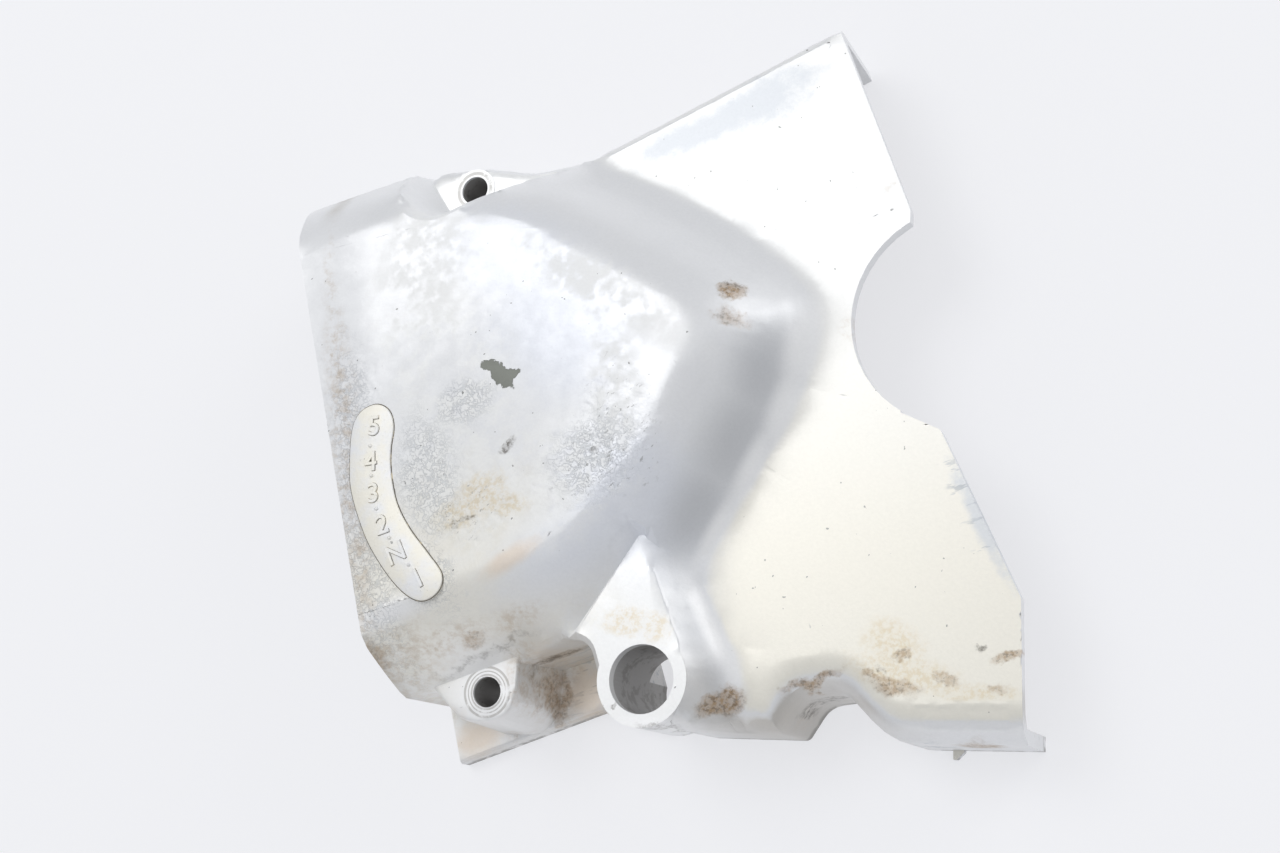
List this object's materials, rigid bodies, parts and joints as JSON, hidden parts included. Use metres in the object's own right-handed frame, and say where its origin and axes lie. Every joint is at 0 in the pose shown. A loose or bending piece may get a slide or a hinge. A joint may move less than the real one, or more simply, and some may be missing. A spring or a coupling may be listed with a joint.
{
  "type": "motorcycle sprocket cover",
  "caption": "Cast cover for a motorcycle's front sprocket: a domed face with folded walls, bolt bosses, a shift-shaft bore and a round cut in one edge.",
  "frame": {"origin": "middle of the casting's box in plan, on the plane its rim lies on", "axes": "+Z out of the cover's outer face; +X towards the rear sprocket; +Y up the engine"},
  "size_m": [0.1756, 0.1678, 0.042],
  "materials": {
    "silver_paint": "worn silver paint"
  },
  "bodies": {
    "root": {"sprocket_cover": "silver_paint"}
  },
  "joints": []
}
